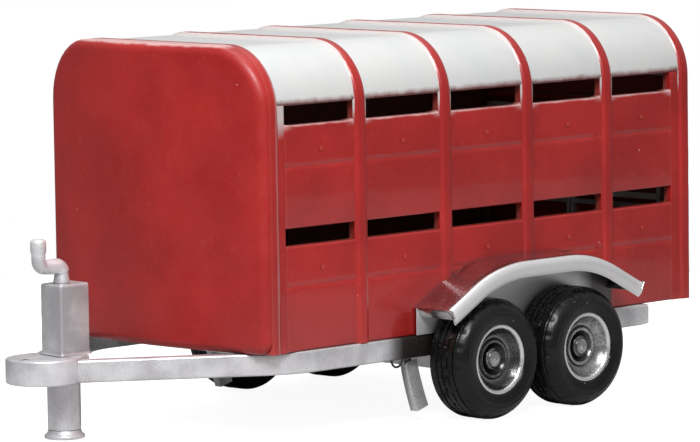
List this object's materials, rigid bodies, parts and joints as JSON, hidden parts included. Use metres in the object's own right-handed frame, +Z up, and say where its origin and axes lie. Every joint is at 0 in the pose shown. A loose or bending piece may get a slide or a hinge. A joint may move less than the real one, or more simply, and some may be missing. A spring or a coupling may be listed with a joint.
{
  "type": "livestock trailer",
  "caption": "Twin-axle livestock trailer: hooped red body with vent slots, white roof, bowed front, long mudguards, V drawbar with jack, rear loading ramp and inner gates.",
  "frame": {"origin": "on the ground, under the middle of the trailer's overall length and width", "axes": "+X towards the trailer's right-hand side, +Y from the drawbar towards the loading ramp, +Z up"},
  "size_m": [2.214, 4.406, 2.1049],
  "materials": {
    "red_paint": "glossy red paint",
    "white_paint": "satin white paint",
    "silver_paint": "slightly grainy silver paint",
    "bright_steel": "bright plated steel",
    "cast": "cast iron under silver paint",
    "aluminium": "plain aluminium",
    "tyre": "black tyre rubber",
    "rubber": "black rubber",
    "boards": "sealed boards",
    "lamp": "red lamp lens",
    "plate": "plain yellow plate",
    "grip": "moulded grip"
  },
  "bodies": {
    "trailer": {"cross_members": "silver_paint", "nose_plate": "cast", "towing_eye_bush": "bright_steel", "floor_boards": "boards", "jack_sleeve": "silver_paint", "jack_housing": "silver_paint", "axle_beams": "silver_paint", "body_hoops": "red_paint", "corner_posts": "red_paint", "front_cap": "red_paint", "roof_panels": "white_paint", "panel_studs": "red_paint", "rear_sill": "red_paint", "ramp_pins": "bright_steel", "latch_keepers": "bright_steel", "rear_lamps": "lamp", "gate_brackets": "silver_paint", "prop_brackets": "silver_paint", "cable_loop": "rubber", "frame_rail_right": "silver_paint", "side_panels_lower_right": "red_paint", "side_panels_upper_right": "red_paint", "mudguard_right": "silver_paint", "frame_rail_left": "silver_paint", "side_panels_lower_left": "red_paint", "side_panels_upper_left": "red_paint", "mudguard_left": "silver_paint"},
    "jack_inner": {"jack_leg": "silver_paint", "jack_nut": "silver_paint", "jack_foot": "silver_paint"},
    "jack_drive": {"jack_crank": "silver_paint", "crank_grip": "grip", "jack_screw": "bright_steel"},
    "ramp": {"ramp_door": "red_paint", "ramp_treads": "aluminium", "number_plate": "plate"},
    "latch_right": {"ramp_latch_right": "bright_steel"},
    "gate_right": {"gate_right": "aluminium"},
    "prop_right": {"prop_stand_right": "silver_paint"},
    "shutter_right": {"vent_shutter_right": "aluminium"},
    "arm_front_right": {"suspension_arm_front_right": "silver_paint"},
    "wheel_front_right": {"tyre_front_right": "tyre", "rim_front_right": "silver_paint", "hub_front_right": "bright_steel"},
    "arm_rear_right": {"suspension_arm_rear_right": "silver_paint"},
    "wheel_rear_right": {"tyre_rear_right": "tyre", "rim_rear_right": "silver_paint", "hub_rear_right": "bright_steel"},
    "latch_left": {"ramp_latch_left": "bright_steel"},
    "gate_left": {"gate_left": "aluminium"},
    "prop_left": {"prop_stand_left": "silver_paint"},
    "shutter_left": {"vent_shutter_left": "aluminium"},
    "arm_front_left": {"suspension_arm_front_left": "silver_paint"},
    "wheel_front_left": {"tyre_front_left": "tyre", "rim_front_left": "silver_paint", "hub_front_left": "bright_steel"},
    "arm_rear_left": {"suspension_arm_rear_left": "silver_paint"},
    "wheel_rear_left": {"tyre_rear_left": "tyre", "rim_rear_left": "silver_paint", "hub_rear_left": "bright_steel"}
  },
  "joints": [
    {"name": "jack_lower", "type": "slide", "parent": "trailer", "child": "jack_inner", "axis": [0, 0, -1], "range_m": [0, 0.05], "stiffness_N_per_m": 20000, "springref_m": -0.0211},
    {"name": "jack_crank_turn", "type": "hinge", "parent": "trailer", "child": "jack_drive", "pos_m": [0, -1.866, 0.9], "axis": [0, 0, 1], "continuous": true},
    {"name": "ramp_open", "type": "hinge", "parent": "trailer", "child": "ramp", "pos_m": [0, 2.187, 0.474], "axis": [-1, 0, 0], "range_deg": [0, 105]},
    {"name": "latch_turn_right", "type": "hinge", "parent": "ramp", "child": "latch_right", "pos_m": [0.7, 2.1775, 1.25], "axis": [0, -1, 0], "range_deg": [0, 90]},
    {"name": "gate_swing_right", "type": "hinge", "parent": "trailer", "child": "gate_right", "pos_m": [0.711, 2.087, 1], "axis": [0, 0, 1], "range_deg": [0, 90]},
    {"name": "prop_fold_right", "type": "hinge", "parent": "trailer", "child": "prop_right", "pos_m": [0.777, -0.11, 0.33], "axis": [-1, 0, 0], "range_deg": [0, 105], "stiffness_Nm_per_rad": 8, "springref_deg": -11.29},
    {"name": "shutter_lift_right", "type": "slide", "parent": "trailer", "child": "shutter_right", "axis": [0, 0, 1], "range_m": [0, 0.115]},
    {"name": "suspension_front_right", "type": "hinge", "parent": "trailer", "child": "arm_front_right", "pos_m": [0.8645, 0.207, 0.318], "axis": [1, 0, 0], "range_deg": [-8, 12], "stiffness_Nm_per_rad": 6000, "springref_deg": -10.43},
    {"name": "wheel_spin_front_right", "type": "hinge", "parent": "arm_front_right", "child": "wheel_front_right", "pos_m": [0.982, 0.327, 0.332], "axis": [1, 0, 0], "continuous": true},
    {"name": "suspension_rear_right", "type": "hinge", "parent": "trailer", "child": "arm_rear_right", "pos_m": [0.8645, 0.906, 0.318], "axis": [1, 0, 0], "range_deg": [-8, 12], "stiffness_Nm_per_rad": 6000, "springref_deg": -0.39},
    {"name": "wheel_spin_rear_right", "type": "hinge", "parent": "arm_rear_right", "child": "wheel_rear_right", "pos_m": [0.982, 1.026, 0.332], "axis": [1, 0, 0], "continuous": true},
    {"name": "latch_turn_left", "type": "hinge", "parent": "ramp", "child": "latch_left", "pos_m": [-0.7, 2.1775, 1.25], "axis": [0, 1, 0], "range_deg": [0, 90]},
    {"name": "gate_swing_left", "type": "hinge", "parent": "trailer", "child": "gate_left", "pos_m": [-0.711, 2.087, 1], "axis": [0, 0, -1], "range_deg": [0, 90]},
    {"name": "prop_fold_left", "type": "hinge", "parent": "trailer", "child": "prop_left", "pos_m": [-0.777, -0.11, 0.33], "axis": [-1, 0, 0], "range_deg": [0, 105], "stiffness_Nm_per_rad": 8, "springref_deg": -11.29},
    {"name": "shutter_lift_left", "type": "slide", "parent": "trailer", "child": "shutter_left", "axis": [0, 0, 1], "range_m": [0, 0.115]},
    {"name": "suspension_front_left", "type": "hinge", "parent": "trailer", "child": "arm_front_left", "pos_m": [-0.8645, 0.207, 0.318], "axis": [1, 0, 0], "range_deg": [-8, 12], "stiffness_Nm_per_rad": 6000, "springref_deg": -10.43},
    {"name": "wheel_spin_front_left", "type": "hinge", "parent": "arm_front_left", "child": "wheel_front_left", "pos_m": [-0.982, 0.327, 0.332], "axis": [1, 0, 0], "continuous": true},
    {"name": "suspension_rear_left", "type": "hinge", "parent": "trailer", "child": "arm_rear_left", "pos_m": [-0.8645, 0.906, 0.318], "axis": [1, 0, 0], "range_deg": [-8, 12], "stiffness_Nm_per_rad": 6000, "springref_deg": -0.39},
    {"name": "wheel_spin_rear_left", "type": "hinge", "parent": "arm_rear_left", "child": "wheel_rear_left", "pos_m": [-0.982, 1.026, 0.332], "axis": [1, 0, 0], "continuous": true}
  ],
  "couplings": [
    {"joint": "jack_crank_turn", "follows": "jack_lower", "rad_per_m": 502.65}
  ]
}
